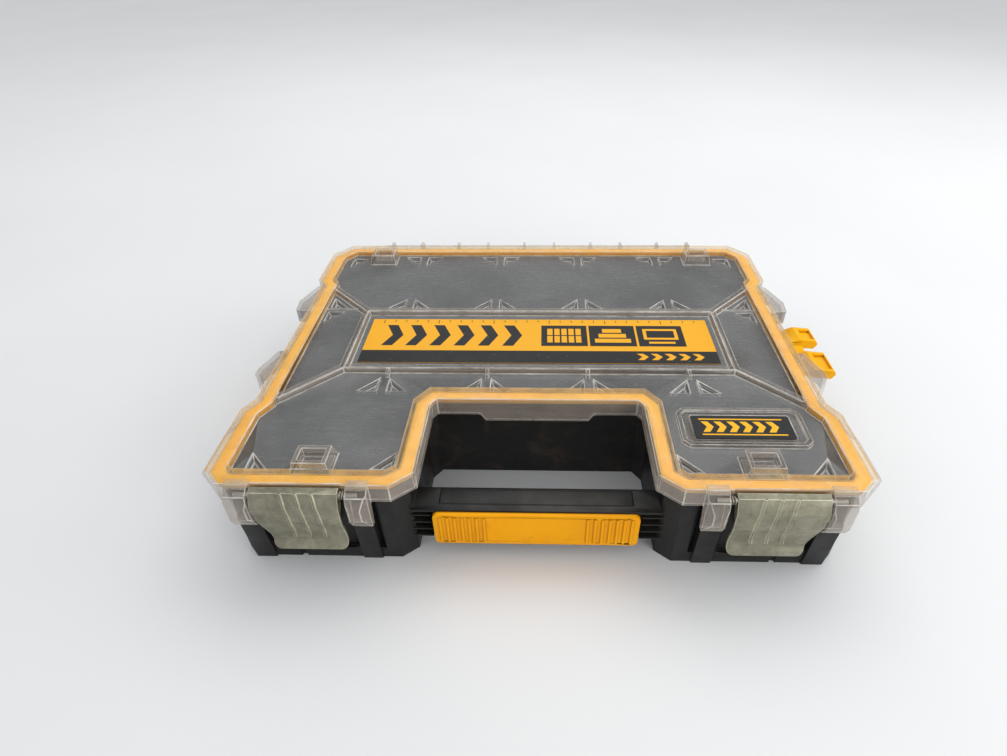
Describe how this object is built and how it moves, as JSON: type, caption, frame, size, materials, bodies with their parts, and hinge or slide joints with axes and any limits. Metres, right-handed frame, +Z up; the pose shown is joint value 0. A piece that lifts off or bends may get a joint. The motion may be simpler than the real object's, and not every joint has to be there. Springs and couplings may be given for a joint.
{
  "type": "stackable parts organizer",
  "caption": "Low stackable parts organizer with removable bins, a clear hinged lid with an amber seal frame, metal front latches, side stacking latches and a yellow handle.",
  "frame": {"origin": "on the table plane, at the centre of the pad under the tub", "axes": "+X to the right seen from the handle side, +Y towards the hinge side, +Z up"},
  "size_m": [0.4646, 0.3584, 0.0845],
  "materials": {
    "tub_black": "moulded, worn and dusty",
    "bin_grey": "moulded",
    "lid_clear": "clear polycarbonate, scuffed",
    "seal_amber": "satin, seen through the clear lid",
    "gasket_rubber": "soft",
    "grip_yellow": "satin moulded",
    "latch_yellow": "satin moulded",
    "zinc_steel": "zinc plated, worn",
    "pin_steel": "plain",
    "spring_steel": "plain wire",
    "label_print": "printed film",
    "badge_print": "printed film"
  },
  "bodies": {
    "base": {"base_tub": "tub_black", "handle_grip": "grip_yellow", "hinge_pins": "pin_steel", "lid_gasket": "gasket_rubber", "side_latch_pin_left": "pin_steel", "side_latch_pin_right": "pin_steel", "bin_back_1": "bin_grey", "bin_back_2": "bin_grey", "bin_back_3": "bin_grey", "bin_back_4": "bin_grey", "bin_back_5": "bin_grey", "bin_middle_1": "bin_grey", "bin_middle_2": "bin_grey", "bin_middle_3": "bin_grey", "bin_middle_4": "bin_grey", "bin_middle_5": "bin_grey"},
    "lid": {"lid_shell": "lid_clear", "lid_seal_frame": "seal_amber", "lid_label": "label_print", "badge_plate": "badge_print", "latch_pin_left": "pin_steel", "latch_pin_right": "pin_steel", "latch_spring_left": "spring_steel", "latch_spring_right": "spring_steel"},
    "front_latch_left": {"latch_left": "zinc_steel"},
    "front_latch_right": {"latch_right": "zinc_steel"},
    "stack_latch_left": {"side_latch_left": "latch_yellow"},
    "stack_latch_right": {"side_latch_right": "latch_yellow"}
  },
  "joints": [
    {"name": "lid_hinge", "type": "hinge", "parent": "base", "child": "lid", "pos_m": [0, 0.1725, 0.0655], "axis": [-1, 0, 0], "range_deg": [0, 110]},
    {"name": "latch_left_hinge", "type": "hinge", "parent": "lid", "child": "front_latch_left", "pos_m": [-0.1496, -0.1731, 0.0752], "axis": [-1, 0, 0], "range_deg": [0, 110]},
    {"name": "latch_right_hinge", "type": "hinge", "parent": "lid", "child": "front_latch_right", "pos_m": [0.1496, -0.1731, 0.0752], "axis": [-1, 0, 0], "range_deg": [0, 110]},
    {"name": "stack_latch_left_hinge", "type": "hinge", "parent": "base", "child": "stack_latch_left", "pos_m": [-0.2056, 0.01, 0.057], "axis": [0, 1, 0], "range_deg": [0, 90]},
    {"name": "stack_latch_right_hinge", "type": "hinge", "parent": "base", "child": "stack_latch_right", "pos_m": [0.2056, 0.01, 0.057], "axis": [0, 1, 0], "range_deg": [0, 90]}
  ]
}
